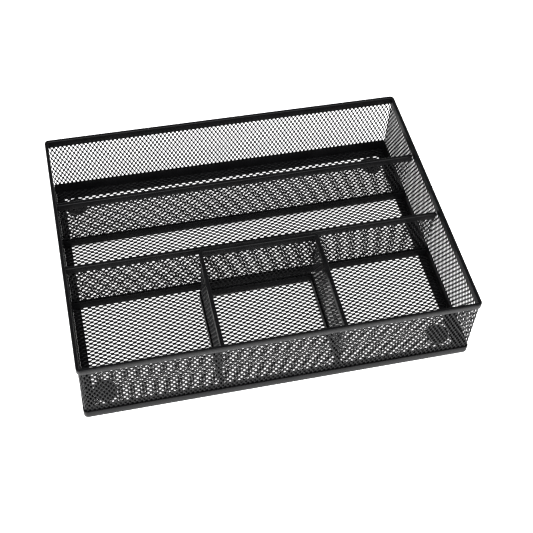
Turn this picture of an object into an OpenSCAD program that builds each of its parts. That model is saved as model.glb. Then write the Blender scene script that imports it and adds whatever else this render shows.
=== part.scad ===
// Desk organizer with five open compartments: a shallow tray of expanded
// metal mesh, bound by folded sheet-steel strips and standing on four pads.
// Millimetres. The origin is on the table, at the middle of the tray.
// +X is the tray's width, +Y its back, +Z up.
// The mesh sheets are drawn as plain closed sheets at their true outer size.

/* [Tray] */
// Width over the folded rim
tray_w = 305; // [260:1:390]
// Depth over the folded rim
tray_d = 232; // [200:1:300]
// Height of the tray without its pads
tray_h = 64; // [52:1:90]
// Radius of the upright corners, outside
corner_r = 3.5; // [3.5:0.5:12]

/* [Folded strips] */
// Thickness of the strip steel
strip_t = 0.7; // [0.5:0.1:1]
// Thickness over a folded strip, with the mesh between its legs
fold_w = 2.7; // [2.7:0.1:3.4]
// Height of the top rim's outer leg
rim_out_h = 5; // [4:0.1:8]
// Height of the top rim's inner leg
rim_in_h = 7; // [5:0.1:10]
// Height of the base channel's outer leg
base_out_h = 7.1; // [5:0.1:10]
// Height of the base channel's inner leg
base_in_h = 11.7; // [8:0.1:15]

/* [Floor] */
// Width of the flat border under the floor mesh, at the front and sides
border_w = 6.5; // [5:0.1:6.6]
// Width of the flat border under the floor mesh, at the back
border_back_w = 8.3; // [5:0.1:9]
// Thickness of a mesh sheet over its tilted strands
mesh_t = 1.2; // [0.8:0.1:1.2]

/* [Dividers] */
// Top of the two long dividers above the bottom of the tray
long_top = 56; // [44:0.5:56.5]
// Top of the U divider above the bottom of the tray
u_top = 62.5; // [44:0.5:63]
// Height of a divider's folded top rail
rail_h = 6; // [4:0.1:8]
// Thickness over a divider's rail
rail_w = 3; // [2.6:0.1:3.6]
// Height of the folded strip at a divider's foot
foot_strip_h = 8; // [6:0.1:10]
// Thickness over a divider's foot strip
foot_strip_w = 3; // [2.6:0.1:3.6]
// Middle of the back divider, from the front of the tray
back_divider_y = 166.2; // [140:0.1:180]
// Middle of the front divider, from the front of the tray
front_divider_y = 100.6; // [80:0.1:120]
// Middle of the U divider's back leg, from the front of the tray
u_back_y = 92.3; // [70:0.1:93]
// Distance between the middles of the U divider's side legs
u_legs = 93; // [60:0.5:140]
// Radius at the middle of the U divider's two bends
u_bend_r = 2; // [2:0.5:10]

/* [Pads] */
// Diameter of a pad
pad_d = 18; // [10:0.5:18]
// Height of a pad below the tray
pad_proud = 1.5; // [1:0.1:4]
// Distance of the pads' middles from the sides
pad_from_side = 18.5; // [18.5:0.5:30]
// Distance of the pads' middles from the front and the back
pad_from_end = 21; // [20.5:0.5:34]

/* [Hidden] */
$fn = 64;
clearance = 0.05;
sharp_r = 0.6;
tray_z = pad_proud;
top_z = tray_z + tray_h;
slot_w = fold_w - 2 * strip_t;
wall_inset = strip_t + (slot_w - mesh_t) / 2;
border_z = tray_z + strip_t;
floor_z = border_z + strip_t;
floor_top = floor_z + mesh_t;
long_top_z = tray_z + long_top;
u_top_z = tray_z + u_top;
front_y = -tray_d / 2;
inner_w = tray_w - 2 * fold_w;
inner_d = tray_d - 2 * fold_w;
back_divider_at = front_y + back_divider_y;
front_divider_at = front_y + front_divider_y;
u_back_at = front_y + u_back_y;
u_front_at = front_y + fold_w + clearance;
upper_span = tray_w - 2 * (wall_inset + mesh_t + clearance);
lower_span = inner_w - 2 * clearance;

// Flat outline of the tray, moved in from the outside by inset
module outline(inset) {
    r = max(corner_r - inset, sharp_r);
    w = tray_w - 2 * inset;
    d = tray_d - 2 * inset;
    square([w - 2 * r, d], center = true);
    square([w, d - 2 * r], center = true);
    for (x = [-1, 1], y = [-1, 1])
        translate([x * (w / 2 - r), y * (d / 2 - r)])
            circle(r);
}

// Upright ring that follows the tray's outline
module ring(z, h, inset, t) {
    translate([0, 0, z])
        linear_extrude(h)
            difference() {
                outline(inset);
                outline(inset + t);
            }
}

// Strip folded over the top edge of the walls, with a longer leg inside
module top_rim() {
    color("#2b2c2e")
        union() {
            ring(top_z - rim_out_h, rim_out_h, 0, strip_t);
            ring(top_z - strip_t, strip_t, 0, fold_w);
            ring(top_z - rim_in_h, rim_in_h, fold_w - strip_t, strip_t);
        }
}

// One strip of mesh wrapped round the tray
module wall_mesh() {
    color("#1d1e20")
        ring(border_z, top_z - strip_t - border_z, wall_inset, mesh_t);
}

// Channel that holds the bottom edge of the walls
module base_channel() {
    color("#2b2c2e")
        union() {
            ring(tray_z, base_out_h, 0, strip_t);
            ring(tray_z, strip_t, 0, fold_w);
            ring(tray_z, base_in_h, fold_w - strip_t, strip_t);
        }
}

// Flat sheet border under the edge of the floor mesh
module floor_border() {
    side = border_w + fold_w;
    back = border_back_w + fold_w;
    color("#2b2c2e")
        translate([0, 0, border_z])
            linear_extrude(strip_t)
                difference() {
                    outline(fold_w + clearance);
                    translate([side - tray_w / 2, side - tray_d / 2])
                        square([tray_w - 2 * side, tray_d - side - back]);
                }
}

// Flat mesh sheet that lies on the border
module floor_mesh() {
    color("#1d1e20")
        translate([0, 0, floor_z])
            linear_extrude(mesh_t)
                outline(fold_w + 2 * clearance);
}

// Straight upright bar along X, its middle at y
module long_bar(y, z, h, t, length) {
    translate([-length / 2, y - t / 2, z])
        cube([length, t, h]);
}

// Folded rail along X: two legs joined at the top
module long_rail(y) {
    z = long_top_z - rail_h;
    color("#2b2c2e")
        difference() {
            long_bar(y, z, rail_h, rail_w, upper_span);
            long_bar(y, z - 1, rail_h + 1 - strip_t,
                     rail_w - 2 * strip_t, upper_span + 2);
        }
}

// Folded strip along X at a divider's foot: two legs joined at the bottom
module long_foot_strip(y) {
    color("#2b2c2e")
        difference() {
            long_bar(y, floor_top, foot_strip_h, foot_strip_w, lower_span);
            long_bar(y, floor_top + strip_t, foot_strip_h,
                     foot_strip_w - 2 * strip_t, lower_span + 2);
        }
}

// Mesh sheet along X, held by its rail and its foot strip
module long_mesh(y) {
    z = floor_top + strip_t;
    color("#1d1e20")
        long_bar(y, z, long_top_z - strip_t - z, mesh_t, lower_span);
}

// Flat outline of the U divider: back leg, two bends and two side legs
module u_path(t, front) {
    r = u_bend_r;
    half = u_legs / 2;
    bend_y = u_back_at - r;
    translate([r - half, u_back_at - t / 2])
        square([u_legs - 2 * r, t]);
    for (side = [-1, 1]) {
        translate([side * half - t / 2, front])
            square([t, bend_y - front]);
        translate([side * (half - r), bend_y])
            intersection() {
                difference() {
                    circle(r + t / 2);
                    circle(r - t / 2);
                }
                translate([side > 0 ? 0 : -2 * r, 0])
                    square([2 * r, 2 * r]);
            }
    }
}

// Part of the U divider between two heights
module u_bar(z, h, t, front = u_front_at) {
    translate([0, 0, z])
        linear_extrude(h)
            u_path(t, front);
}

// Folded rail round the top of the U divider
module u_divider_rail() {
    z = u_top_z - rail_h;
    color("#2b2c2e")
        difference() {
            u_bar(z, rail_h, rail_w);
            u_bar(z - 1, rail_h + 1 - strip_t,
                  rail_w - 2 * strip_t, u_front_at - 1);
        }
}

// Folded strip round the foot of the U divider
module u_divider_foot_strip() {
    color("#2b2c2e")
        difference() {
            u_bar(floor_top, foot_strip_h, foot_strip_w);
            u_bar(floor_top + strip_t, foot_strip_h,
                  foot_strip_w - 2 * strip_t, u_front_at - 1);
        }
}

// One strip of mesh bent into the U
module u_divider_mesh() {
    z = floor_top + strip_t;
    color("#1d1e20")
        u_bar(z, u_top_z - strip_t - z, mesh_t);
}

// Round pad stuck under the floor mesh
module pad(side, end) {
    color("#161616")
        translate([side * (tray_w / 2 - pad_from_side),
                   end * (tray_d / 2 - pad_from_end), 0])
            cylinder(d = pad_d, h = floor_z);
}

top_rim();
wall_mesh();
base_channel();
floor_border();
floor_mesh();
long_mesh(back_divider_at);  // back_divider_mesh
long_rail(back_divider_at);  // back_divider_rail
long_foot_strip(back_divider_at);  // back_divider_foot_strip
long_mesh(front_divider_at);  // front_divider_mesh
long_rail(front_divider_at);  // front_divider_rail
long_foot_strip(front_divider_at);  // front_divider_foot_strip
u_divider_mesh();
u_divider_rail();
u_divider_foot_strip();
pad(-1, -1);  // pad_front_left
pad(1, -1);  // pad_front_right
pad(-1, 1);  // pad_back_left
pad(1, 1);  // pad_back_right
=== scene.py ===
"""Looks of a desk organizer: a tray of black expanded metal bound by folded strips.

Every size is in metres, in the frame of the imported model.
"""

import math

import bpy
import numpy as np
from mathutils import Matrix, Vector


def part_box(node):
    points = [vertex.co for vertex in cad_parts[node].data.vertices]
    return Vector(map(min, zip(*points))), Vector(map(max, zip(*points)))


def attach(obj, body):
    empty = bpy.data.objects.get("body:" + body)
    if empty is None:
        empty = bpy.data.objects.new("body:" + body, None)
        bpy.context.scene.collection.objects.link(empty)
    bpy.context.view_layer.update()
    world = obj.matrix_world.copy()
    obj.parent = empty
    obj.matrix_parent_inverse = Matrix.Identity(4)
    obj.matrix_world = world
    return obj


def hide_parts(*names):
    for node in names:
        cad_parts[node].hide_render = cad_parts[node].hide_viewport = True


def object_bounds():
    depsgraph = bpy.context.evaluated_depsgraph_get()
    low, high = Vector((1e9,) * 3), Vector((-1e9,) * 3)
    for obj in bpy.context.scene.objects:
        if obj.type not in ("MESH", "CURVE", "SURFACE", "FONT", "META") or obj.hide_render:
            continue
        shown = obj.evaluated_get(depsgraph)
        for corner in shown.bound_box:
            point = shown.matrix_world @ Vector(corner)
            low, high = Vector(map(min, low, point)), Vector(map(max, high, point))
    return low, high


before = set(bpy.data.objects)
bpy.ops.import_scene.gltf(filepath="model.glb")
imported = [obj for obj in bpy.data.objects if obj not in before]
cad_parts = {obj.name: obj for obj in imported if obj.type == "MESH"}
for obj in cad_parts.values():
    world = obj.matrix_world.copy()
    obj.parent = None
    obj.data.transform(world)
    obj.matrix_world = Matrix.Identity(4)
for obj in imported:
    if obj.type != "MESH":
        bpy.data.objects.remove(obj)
cad_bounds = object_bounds()

MM = 0.001

# Folded strips
STRIP_T = 0.7 * MM  # sheet thickness
FOLD_W = 2.7 * MM  # thickness over the tray's folded strips
DIVIDER_FOLD_W = 3.0 * MM  # thickness over a divider's folded strips
RIM_OUT_H = 5.0 * MM  # the rim's outer leg
BASE_OUT_H = 7.1 * MM  # the base channel's outer leg
CORNER_R = 3.5 * MM  # the tray's upright corners, outside
U_LEGS = 93.0 * MM  # between the middles of the U divider's side legs
U_BEND_R = 2.0 * MM  # the U divider's bends, at the middle of its thickness
FOLD_R = 0.75 * MM  # outside radius of a fold
FOLD_STEPS = 6  # faces round a fold
EDGE_STEPS = 4  # faces round the cut edge of a strip
CORNER_STEPS = 10  # faces round an upright corner or bend
FOLD_SHARP = math.radians(32)  # edges sharper than this aren't smoothed

# Expanded metal
STRAND_T = 0.4 * MM  # thickness of the sheet it is cut from
RIGHT_LEAN = 0.25  # how far the right wall's strands lean, as a part of the others' lean
WALL_EDGE = 0.2 * MM  # nearer to the outside than this, a place on the outline is on a side


class Weave:
    """The sizes of one kind of expanded metal."""

    def __init__(self, long_pitch, short_pitch, strand, bond, tilt):
        self.long_half = long_pitch * MM / 2  # half a diamond's long way, bond to bond
        self.short_half = short_pitch * MM / 2
        self.strand = strand * MM  # width of a strand, from slit to slit
        self.bond = bond * MM  # length of the joint between two diamonds
        self.tilt = math.radians(tilt)  # how far a strand leans out of the sheet
        self.edge = self.strand * math.cos(self.tilt)  # a bond's reach along the short way


# sizes in mm, tilt in degrees
FLOOR_WEAVE = Weave(long_pitch=6.13, short_pitch=3.68, strand=1.13, bond=2.0, tilt=-6)
WALL_WEAVE = Weave(long_pitch=6.35, short_pitch=3.52, strand=0.96, bond=1.9, tilt=-14)
DIVIDER_WEAVE = Weave(long_pitch=6.6, short_pitch=3.88, strand=0.74, bond=1.8, tilt=3)
U_WEAVE = Weave(long_pitch=6.56, short_pitch=3.858, strand=0.68, bond=1.8, tilt=-8)
DIVIDER_MESH_LIFT = 0.3 * MM  # from the bottom of a divider's mesh to its first bonds

# These two line the U divider's diamonds up with those of the divider behind it,
# as the camera sees them
U_MESH_SHIFT = -0.68 * MM
U_MESH_LIFT = 1.56 * MM

# Pads
PAD_STEPS = 48  # faces round a pad
PAD_SHARP = math.radians(35)
PAD_BEVEL = 0.5 * MM
PAD_BEVEL_STEPS = 5
PAD_DISH = 0.3 * MM  # depth of the hollow under a pad
PAD_DISH_LIP = 0.25 * MM  # depth of the hollow just inside its lip
PAD_DISH_OUT = 0.72  # where the hollow starts and where its lip ends, as parts of the radius
PAD_DISH_IN = 0.66

# Materials
COAT_IOR = 1.24
COAT_PEEL_STRENGTH = 0.35
CLOUD_SCALE = 60  # noise scales, per metre
GLOSS_SCALE = 240
PEEL_SCALE = 1800
GRAIN_SCALE = 2500
RUBBER_GLOSS_SCALE = 400
RUBBER_GRAIN_STRENGTH = 0.5
RUBBER_GRAIN_DEPTH = 0.08 * MM

# Camera
CAMERA_AZIMUTH = math.radians(15.77)
CAMERA_ELEVATION = math.radians(51.91)
CAMERA_ROLL = math.radians(3.75)
CAMERA_TARGET = Vector((9.36, -17.07, 22.67)) * MM
CAMERA_DISTANCE = 859.3 * MM
CAMERA_LENS = 71.1

# Stage
TABLE_HALF = 6.0  # half the width of the table
SOFTBOXES = (  # name, place, width and height, power in watts
    ("softbox_front", (0, -1.1, 1.3), (2.0, 1.6), 50),
    ("softbox_left", (-1.2, -0.2, 1.0), (0.9, 0.9), 6),
    ("softbox_right", (1.2, -0.2, 1.0), (0.9, 0.9), 6),
)
SKY_DIM_FROM = 0.62  # how far up the sky is dim, as the sine of the elevation


# ---------------------------------------------------------------- materials


def new_material(name):
    """An empty node material with its shader and its node tree."""
    material = bpy.data.materials.new(name)
    material.use_nodes = True
    nodes = material.node_tree.nodes
    return material, nodes, material.node_tree.links, nodes["Principled BSDF"]


def add_noise(nodes, links, coordinates, scale, detail=2.0):
    """A noise in the coordinates of the object, in metres."""
    noise = nodes.new("ShaderNodeTexNoise")
    noise.inputs["Scale"].default_value = scale
    noise.inputs["Detail"].default_value = detail
    links.new(coordinates.outputs["Object"], noise.inputs["Vector"])
    return noise


def add_ramp(nodes, links, source, low, high):
    """Maps a noise's middle range on to two colours or two grey values."""
    ramp = nodes.new("ShaderNodeValToRGB")
    ramp.color_ramp.elements[0].position = 0.35
    ramp.color_ramp.elements[1].position = 0.65
    for element, value in zip(ramp.color_ramp.elements, (low, high)):
        element.color = (*value, 1) if isinstance(value, tuple) else (value,) * 3 + (1,)
    links.new(source.outputs["Fac"], ramp.inputs["Fac"])
    return ramp


def powder_coat(name, dark, light, rough_low, rough_high, peel_depth):
    """Semi-gloss black powder coat: fine orange peel over uneven gloss."""
    material, nodes, links, shader = new_material(name)
    coordinates = nodes.new("ShaderNodeTexCoord")
    cloud = add_noise(nodes, links, coordinates, CLOUD_SCALE)
    links.new(add_ramp(nodes, links, cloud, dark, light).outputs["Color"],
              shader.inputs["Base Color"])
    gloss = add_noise(nodes, links, coordinates, GLOSS_SCALE, detail=4)
    links.new(add_ramp(nodes, links, gloss, rough_low, rough_high).outputs["Color"],
              shader.inputs["Roughness"])
    peel = add_noise(nodes, links, coordinates, PEEL_SCALE, detail=3)
    bump = nodes.new("ShaderNodeBump")
    bump.inputs["Strength"].default_value = COAT_PEEL_STRENGTH
    bump.inputs["Distance"].default_value = peel_depth
    links.new(peel.outputs["Fac"], bump.inputs["Height"])
    links.new(bump.outputs["Normal"], shader.inputs["Normal"])
    shader.inputs["IOR"].default_value = COAT_IOR
    return material


def foam_rubber(name):
    """Matte black rubber with a fine grain."""
    material, nodes, links, shader = new_material(name)
    coordinates = nodes.new("ShaderNodeTexCoord")
    grain = add_noise(nodes, links, coordinates, GRAIN_SCALE, detail=3)
    links.new(add_ramp(nodes, links, grain, (0.008, 0.008, 0.009),
                       (0.018, 0.018, 0.019)).outputs["Color"],
              shader.inputs["Base Color"])
    bump = nodes.new("ShaderNodeBump")
    bump.inputs["Strength"].default_value = RUBBER_GRAIN_STRENGTH
    bump.inputs["Distance"].default_value = RUBBER_GRAIN_DEPTH
    links.new(grain.outputs["Fac"], bump.inputs["Height"])
    links.new(bump.outputs["Normal"], shader.inputs["Normal"])
    rough = add_noise(nodes, links, coordinates, RUBBER_GLOSS_SCALE)
    links.new(add_ramp(nodes, links, rough, 0.78, 0.9).outputs["Color"],
              shader.inputs["Roughness"])
    return material


# ------------------------------------------------------------------- meshes


def make_object(name, points, faces, material, smooth_angle=None):
    """A mesh object. Edges sharper than smooth_angle stay sharp."""
    mesh = bpy.data.meshes.new(name)
    mesh.from_pydata([tuple(p) for p in points], [], faces)
    mesh.update()
    if smooth_angle:
        mesh.polygons.foreach_set("use_smooth", [True] * len(mesh.polygons))
        mesh.set_sharp_from_angle(angle=smooth_angle)
    mesh.materials.append(material)
    piece = bpy.data.objects.new(name, mesh)
    bpy.context.scene.collection.objects.link(piece)
    return piece


def arc(centre, radius, start, end, steps):
    """Points on an arc, angles in radians."""
    angles = [start + (end - start) * i / steps for i in range(steps + 1)]
    return [(centre[0] + radius * math.cos(a), centre[1] + radius * math.sin(a)) for a in angles]


class Path:
    """A plan line of straights and arcs, with the direction to its left at each point."""

    def __init__(self, stations, closed):
        # a station is x, y and the angle of the direction to its left
        if closed:
            stations = stations + stations[:1]
        self.closed = closed
        self.xy = np.array([(x, y) for x, y, _ in stations])
        self.left = np.array([(math.cos(a), math.sin(a)) for _, _, a in stations])
        steps = np.linalg.norm(np.diff(self.xy, axis=0), axis=1)
        self.s = np.concatenate([[0], np.cumsum(steps)])
        self.length = self.s[-1]

    def at(self, s, offset):
        """Points at distances s along the line, moved to its left by offset."""
        if self.closed:
            s = np.mod(s, self.length)
        x = np.interp(s, self.s, self.xy[:, 0])
        y = np.interp(s, self.s, self.xy[:, 1])
        left_x = np.interp(s, self.s, self.left[:, 0])
        left_y = np.interp(s, self.s, self.left[:, 1])
        size = np.hypot(left_x, left_y)
        return x + offset * left_x / size, y + offset * left_y / size

    def length_at(self, offset):
        """Length of a closed line that is moved to its left by offset."""
        x, y = self.at(self.s[:-1], offset)
        return float(np.hypot(np.diff(np.append(x, x[0])), np.diff(np.append(y, y[0]))).sum())


def tray_outline(low, high, radius):
    """The tray's outside, anticlockwise from above, so that left is inwards."""
    corners = [(high.x, low.y), (high.x, high.y), (low.x, high.y), (low.x, low.y)]
    stations = []
    for k, (cx, cy) in enumerate(corners):
        cx += -radius if cx > 0 else radius
        cy += -radius if cy > 0 else radius
        for i in range(CORNER_STEPS + 1):
            a = math.radians(-90 + 90 * k + 90 * i / CORNER_STEPS)
            stations.append((cx + radius * math.cos(a), cy + radius * math.sin(a), a + math.pi))
    return Path(stations, True)


def straight_path(low_x, high_x, y):
    """A line along +X; left is +Y."""
    return Path([(low_x, y, math.pi / 2), (high_x, y, math.pi / 2)], False)


def u_path(half, front, back, radius):
    """From the front up the right leg, along the back and down the left leg; left is inwards."""
    stations = [(half, front, math.pi)]
    for side, start in ((1, 0), (-1, 90)):
        for i in range(CORNER_STEPS + 1):
            a = math.radians(start + 90 * i / CORNER_STEPS)
            stations.append((side * (half - radius) + radius * math.cos(a),
                             back - radius + radius * math.sin(a), a + math.pi))
    stations.append((-half, front, 2 * math.pi))
    return Path(stations, False)


def folded_profile(width, first_leg, second_leg):
    """Outline of a strip folded into an upright U that opens downwards, its top at height 0.

    A point is (distance across, height). The first leg is at distance 0.
    """
    half = STRIP_T / 2
    middle = [(half, -first_leg + half)]
    angles = [(math.pi, math.pi / 2), (math.pi / 2, 0)]
    for centre_x, (start, end) in zip((FOLD_R, width - FOLD_R), angles):
        middle += arc((centre_x, -FOLD_R), FOLD_R - half, start, end, FOLD_STEPS)
    middle.append((width - half, -second_leg + half))
    middle = np.array(middle)
    along = np.gradient(middle, axis=0)
    along[0] = along[1] = middle[1] - middle[0]
    along[-1] = along[-2] = middle[-1] - middle[-2]
    along /= np.linalg.norm(along, axis=1)[:, None]
    side = np.column_stack([-along[:, 1], along[:, 0]])
    outer = middle + side * half
    inner = middle - side * half
    first_end = arc(middle[0], half, 0, -math.pi, EDGE_STEPS)[1:-1]
    second_end = arc(middle[-1], half, 0, -math.pi, EDGE_STEPS)[1:-1]
    return np.vstack([outer, second_end, inner[::-1], first_end])


def sweep(name, path, profile, z, material, flip=False, centre=0.0):
    """Moves a closed profile along a path at height z, its distance centre on the path.

    flip turns the profile upside down.
    """
    across = profile[:, 0] - centre
    up = -profile[:, 1] if flip else profile[:, 1]
    points = []
    stations = path.s[:-1] if path.closed else path.s
    for s in stations:
        x, y = path.at(np.full(len(across), s), across)
        points += list(zip(x, y, z + up))
    n, m = len(stations), len(profile)
    faces = []
    for i in range(n if path.closed else n - 1):
        j = (i + 1) % n
        for k in range(m):
            l = (k + 1) % m
            quad = (i * m + k, i * m + l, j * m + l, j * m + k)
            faces.append(quad[::-1] if flip else quad)
    if not path.closed:
        first, last = tuple(range(m)), tuple(range((n - 1) * m, n * m))
        faces.append(first if flip else first[::-1])
        faces.append(last[::-1] if flip else last)
    return make_object(name, points, faces, material, FOLD_SHARP)


def expanded_sheet(name, place, weave, long_steps, short_steps, long_half, short_half, material,
                   closed=False, lean=None):
    """A sheet of expanded metal, its diamonds' long way along u and their short way along v.

    place maps arrays u, v and w, the height above the sheet's middle, to x, y and z. A bond
    sits at every second place of the grid with steps long_half and short_half. Each strand
    leans by the weave's tilt about u, times lean(v) where lean is given. closed joins the last
    row of bonds to the first one.
    """
    rows = short_steps if closed else short_steps + 1
    i, j = np.meshgrid(np.arange(long_steps + 1), np.arange(rows), indexing="ij")
    used = (i + j) % 2 == 0
    number = np.full(i.shape, -1)
    number[used] = np.arange(used.sum())
    u0, v0 = i[used] * long_half, j[used] * short_half

    # a bond's corners: left and right, at its lower edge, its middle and its upper edge
    tilt = (weave.tilt * (lean(v0) if lean else np.ones_like(v0)))[:, None]
    corners = [(end, level, face) for face in (1, -1) for level in (-1, 0, 1) for end in (-1, 1)]
    end, level, face = np.array(corners).T
    across = level * weave.strand
    through = face * STRAND_T / 2
    u = u0[:, None] + end * weave.bond / 2
    v = v0[:, None] + across * np.cos(tilt) - through * np.sin(tilt)
    w = across * np.sin(tilt) + through * np.cos(tilt)
    x, y, z = place((u + 0 * v).ravel(), v.ravel(), w.ravel())
    points = np.column_stack([x, y, z])

    low_l, low_r, mid_l, mid_r, top_l, top_r = range(6)
    under = 6
    per_bond = 12

    def neighbour(di, dj):
        """For each bond, the number of the bond that many grid steps away, or -1."""
        a, b = i[used] + di, j[used] + dj
        if closed:
            b = b % rows
        inside = (a >= 0) & (a <= long_steps) & (b >= 0) & (b < rows)
        found = np.full(a.shape, -1)
        found[inside] = number[a[inside], b[inside]]
        return found

    own = np.arange(used.sum())
    quads = []

    def add(bonds, corner_list):
        quads.append(np.column_stack([b * per_bond + c for b, c in zip(bonds, corner_list)]))

    def add_leg(mask, other, a, b, c, d):
        """The strand from corners a and d of a bond to corners b and c of another one."""
        p, q = own[mask], other[mask]
        add((p, q, q, p), (a, b, c, d))
        add((p, q, q, p), (d + under, c + under, b + under, a + under))
        add((p, p, q, q), (a, a + under, b + under, b))
        add((q, q, p, p), (c, c + under, d + under, d))

    for low_a, low_b, up_a, up_b in ((low_l, low_r, mid_l, mid_r), (mid_l, mid_r, top_l, top_r)):
        add((own,) * 4, (low_a, low_b, up_b, up_a))
        add((own,) * 4, (up_a + under, up_b + under, low_b + under, low_a + under))
    add((own,) * 4, (low_l, low_l + under, low_r + under, low_r))
    add((own,) * 4, (top_r, top_r + under, top_l + under, top_l))

    upper_right, lower_right = neighbour(1, 1), neighbour(1, -1)
    upper_left, lower_left = neighbour(-1, 1), neighbour(-1, -1)
    add_leg(upper_right >= 0, upper_right, mid_r, low_l, mid_l, top_r)
    add_leg(lower_right >= 0, lower_right, low_r, mid_l, top_l, mid_r)
    for missing, a, b in ((upper_right < 0, mid_r, top_r), (lower_right < 0, low_r, mid_r),
                          (upper_left < 0, top_l, mid_l), (lower_left < 0, mid_l, low_l)):
        p = own[missing]
        add((p,) * 4, (a, a + under, b + under, b))
    return make_object(name, points, np.vstack(quads).tolist(), material, math.pi)


def lathe(name, centre, profile, material):
    """Turns a profile of (radius, height) about an upright axis. It starts and ends on the axis."""
    points = [(centre.x, centre.y, profile[0][1])]
    for radius, height in profile[1:-1]:
        for k in range(PAD_STEPS):
            a = 2 * math.pi * k / PAD_STEPS
            points.append((centre.x + radius * math.cos(a), centre.y + radius * math.sin(a), height))
    points.append((centre.x, centre.y, profile[-1][1]))
    last = len(points) - 1
    rings = len(profile) - 2
    faces = []
    for k in range(PAD_STEPS):
        n = (k + 1) % PAD_STEPS
        faces.append((0, 1 + n, 1 + k))
        for r in range(rings - 1):
            a, b = 1 + r * PAD_STEPS, 1 + (r + 1) * PAD_STEPS
            faces.append((a + k, a + n, b + n, b + k))
        end = 1 + (rings - 1) * PAD_STEPS
        faces.append((last, end + k, end + n))
    return make_object(name, points, faces, material, PAD_SHARP)


# ------------------------------------------------------------------- pieces


def finish_piece(piece, node):
    """Ties a piece to the body and hides the imported node that it shows."""
    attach(piece, "root")
    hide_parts(node)


def count_steps(span, half_pitch, even=False):
    """How many half pitches fill a span best, and how long each then is."""
    steps = round(span / half_pitch)
    if even:
        steps = 2 * round(steps / 2)
    return steps, span / steps


def build_tray(coat, mesh_coat):
    """The rim, the base channel and the mesh of the walls, which goes once round the tray."""
    rim_low, rim_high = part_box("top_rim")
    base_low, base_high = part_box("base_channel")
    outline = tray_outline(rim_low, rim_high, CORNER_R)

    rim_in_h = rim_high.z - rim_low.z
    rim = sweep("top_rim_strip", outline, folded_profile(FOLD_W, RIM_OUT_H, rim_in_h),
                rim_high.z, coat)
    finish_piece(rim, "top_rim")

    base_in_h = base_high.z - base_low.z
    channel = sweep("base_channel_strip", outline, folded_profile(FOLD_W, BASE_OUT_H, base_in_h),
                    base_low.z, coat, flip=True)
    finish_piece(channel, "base_channel")

    # the wall's mesh stands in the middle of both folds
    wall_low, wall_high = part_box("wall_mesh")
    weave = WALL_WEAVE
    rows = int((wall_high.z - wall_low.z - weave.bond) / weave.long_half)
    bottom = (wall_low.z + wall_high.z - rows * weave.long_half) / 2
    around, short_half = count_steps(outline.length_at(FOLD_W / 2), weave.short_half, True)
    scale = outline.length / (around * short_half)

    def place(u, v, w):
        x, y = outline.at(v * scale, FOLD_W / 2 - w)
        return x, y, bottom + u

    def lean(v):
        """The strands lean less on the right side."""
        x, _ = outline.at(v * scale, 0)
        return np.where(x > rim_high.x - WALL_EDGE, RIGHT_LEAN, 1.0)

    walls = expanded_sheet("wall_mesh_strip", place, weave, rows, around, weave.long_half,
                           short_half, mesh_coat, closed=True, lean=lean)
    finish_piece(walls, "wall_mesh")


def build_floor(coat, mesh_coat):
    """The border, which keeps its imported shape, and the mesh that lies on it."""
    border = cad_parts["floor_border"]
    border.data.materials.clear()
    border.data.materials.append(coat)

    low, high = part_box("floor_mesh")
    weave = FLOOR_WEAVE
    columns, long_half = count_steps(high.x - low.x - weave.bond, weave.long_half)
    rows, short_half = count_steps(high.y - low.y - 2 * weave.edge, weave.short_half)
    middle = (low.z + high.z) / 2

    def place(u, v, w):
        return low.x + weave.bond / 2 + u, low.y + weave.edge + v, middle + w

    sheet = expanded_sheet("floor_mesh_sheet", place, weave, columns, rows, long_half,
                           short_half, mesh_coat)
    finish_piece(sheet, "floor_mesh")


def build_divider(name, path, weave, coat, mesh_coat, shift=0.0, lift=DIVIDER_MESH_LIFT):
    """A divider's rail, foot strip and mesh, on a path through the middle of all three.

    The diamonds keep the weave's own pitch. shift moves them along the path from its middle,
    and lift is the height of the lowest bonds above the bottom of the mesh.
    """
    rail_low, rail_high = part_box(name + "_rail")
    foot_low, foot_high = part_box(name + "_foot_strip")
    mesh_low, mesh_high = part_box(name + "_mesh")
    rail_h = rail_high.z - rail_low.z
    rail = sweep(name + "_top_rail", path, folded_profile(DIVIDER_FOLD_W, rail_h, rail_h),
                 rail_high.z, coat, centre=DIVIDER_FOLD_W / 2)
    finish_piece(rail, name + "_rail")
    foot_h = foot_high.z - foot_low.z
    foot = sweep(name + "_foot", path, folded_profile(DIVIDER_FOLD_W, foot_h, foot_h),
                 foot_low.z, coat, flip=True, centre=DIVIDER_FOLD_W / 2)
    finish_piece(foot, name + "_foot_strip")

    bottom = mesh_low.z + weave.bond / 2 + lift
    rows = int((mesh_high.z - weave.bond / 2 - bottom) / weave.long_half)
    columns = int((path.length - 2 * weave.edge - 2 * abs(shift)) / weave.short_half)
    start = (path.length - columns * weave.short_half) / 2 + shift

    def place(u, v, w):
        x, y = path.at(start + v, -w)
        return x, y, bottom + u

    sheet = expanded_sheet(name + "_mesh_sheet", place, weave, rows, columns, weave.long_half,
                           weave.short_half, mesh_coat)
    finish_piece(sheet, name + "_mesh")


def build_dividers(coat, mesh_coat):
    """The two straight dividers and the one that is bent into a U."""
    for name in ("back_divider", "front_divider"):
        low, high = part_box(name + "_foot_strip")
        path = straight_path(low.x, high.x, (low.y + high.y) / 2)
        build_divider(name, path, DIVIDER_WEAVE, coat, mesh_coat)
    low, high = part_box("u_divider_mesh")
    inset = (high.x - low.x - U_LEGS) / 2
    path = u_path(high.x - inset, low.y, high.y - inset, U_BEND_R)
    build_divider("u_divider", path, U_WEAVE, coat, mesh_coat, U_MESH_SHIFT, U_MESH_LIFT)


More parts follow.
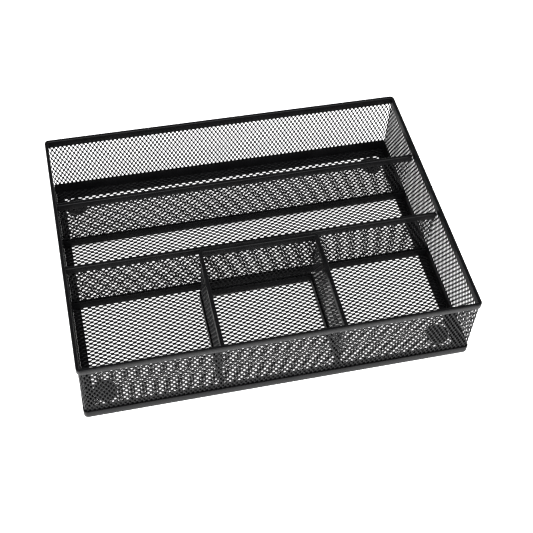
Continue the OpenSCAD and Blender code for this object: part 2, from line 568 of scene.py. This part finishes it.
def build_pads(rubber):
    """Round pads with a bevelled edge and a shallow hollow underneath."""
    for node in ("pad_front_left", "pad_front_right", "pad_back_left", "pad_back_right"):
        low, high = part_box(node)
        centre = (low + high) / 2
        radius = (high.x - low.x) / 2
        chamfer = PAD_BEVEL / 2
        profile = [(0, high.z), (radius - chamfer, high.z), (radius, high.z - chamfer)]
        profile += arc((radius - PAD_BEVEL, low.z + PAD_BEVEL), PAD_BEVEL, 0, -math.pi / 2,
                       PAD_BEVEL_STEPS)
        profile += [(radius * PAD_DISH_OUT, low.z), (radius * PAD_DISH_IN, low.z + PAD_DISH_LIP),
                    (0, low.z + PAD_DISH)]
        pad = lathe(node + "_disc", centre, profile[::-1], rubber)
        finish_piece(pad, node)


# -------------------------------------------------------------------- stage


def add_camera():
    """A camera in front and a little to the left, which looks down at its target."""
    along = math.cos(CAMERA_ELEVATION)
    forward = Vector((math.sin(CAMERA_AZIMUTH) * along, math.cos(CAMERA_AZIMUTH) * along,
                      -math.sin(CAMERA_ELEVATION)))
    level = Vector((math.cos(CAMERA_AZIMUTH), -math.sin(CAMERA_AZIMUTH), 0))
    upright = level.cross(forward)
    right = level * math.cos(CAMERA_ROLL) + upright * math.sin(CAMERA_ROLL)
    up = right.cross(forward)
    data = bpy.data.cameras.new("camera")
    data.lens = CAMERA_LENS
    data.sensor_width = 36
    data.clip_start = 0.01
    camera = bpy.data.objects.new("camera", data)
    turn = Matrix((right, up, -forward)).transposed().to_4x4()
    camera.matrix_world = Matrix.Translation(CAMERA_TARGET - forward * CAMERA_DISTANCE) @ turn
    bpy.context.scene.collection.objects.link(camera)
    bpy.context.scene.camera = camera


def add_softbox(name, place, size, power):
    """A rectangular lamp that is aimed at the origin."""
    data = bpy.data.lights.new(name, "AREA")
    data.shape = "RECTANGLE"
    data.size, data.size_y = size
    data.energy = power
    lamp = bpy.data.objects.new(name, data)
    lamp.location = place
    lamp.rotation_euler = (-Vector(place)).to_track_quat("-Z", "Y").to_euler()
    bpy.context.scene.collection.objects.link(lamp)


def add_floor(low):
    """The table, at height low."""
    corners = [(-TABLE_HALF, -TABLE_HALF, low), (TABLE_HALF, -TABLE_HALF, low),
               (TABLE_HALF, TABLE_HALF, low), (-TABLE_HALF, TABLE_HALF, low)]
    floor = make_object("studio_floor", corners, [(0, 1, 2, 3)], light_table())


def light_table():
    """A pale table top that glows softly, so that it looks white through the mesh."""
    material, _, _, shader = new_material("light_table")
    shader.inputs["Base Color"].default_value = (0.8, 0.8, 0.8, 1)
    shader.inputs["Roughness"].default_value = 0.9
    shader.inputs["Specular IOR Level"].default_value = 0.0
    shader.inputs["Emission Color"].default_value = (1, 1, 1, 1)
    shader.inputs["Emission Strength"].default_value = 1.1
    return material


def add_world():
    """A sky that is white at the horizon and dim overhead."""
    world = bpy.data.worlds.new("studio")
    bpy.context.scene.world = world
    world.use_nodes = True
    nodes, links = world.node_tree.nodes, world.node_tree.links
    background = nodes["Background"]
    coordinates = nodes.new("ShaderNodeTexCoord")
    split = nodes.new("ShaderNodeSeparateXYZ")
    ramp = nodes.new("ShaderNodeValToRGB")
    links.new(coordinates.outputs["Generated"], split.inputs["Vector"])
    links.new(split.outputs["Z"], ramp.inputs["Fac"])
    links.new(ramp.outputs["Color"], background.inputs["Color"])
    ramp.color_ramp.elements[0].position = 0.0
    ramp.color_ramp.elements[0].color = (1, 1, 1, 1)
    ramp.color_ramp.elements[1].position = SKY_DIM_FROM
    ramp.color_ramp.elements[1].color = (0.10, 0.10, 0.105, 1)
    background.inputs["Strength"].default_value = 1.0


def build_stage():
    """Camera, sky, table and lamps."""
    add_camera()
    add_world()
    add_floor(cad_bounds[0][2])
    for softbox in SOFTBOXES:
        add_softbox(*softbox)
    bpy.context.scene.view_settings.view_transform = "Standard"
    bpy.context.scene.cycles.filter_width = 1.3


def main():
    coat = powder_coat("black_powder_coat", dark=(0.003, 0.003, 0.0033),
                       light=(0.005, 0.005, 0.0055), rough_low=0.30, rough_high=0.40,
                       peel_depth=0.02 * MM)
    mesh_coat = powder_coat("black_mesh_coat", dark=(0.005, 0.005, 0.0055),
                            light=(0.008, 0.008, 0.0088), rough_low=0.32, rough_high=0.42,
                            peel_depth=0.01 * MM)
    build_tray(coat, mesh_coat)
    build_floor(coat, mesh_coat)
    build_dividers(coat, mesh_coat)
    build_pads(foam_rubber("black_rubber"))
    build_stage()


main()
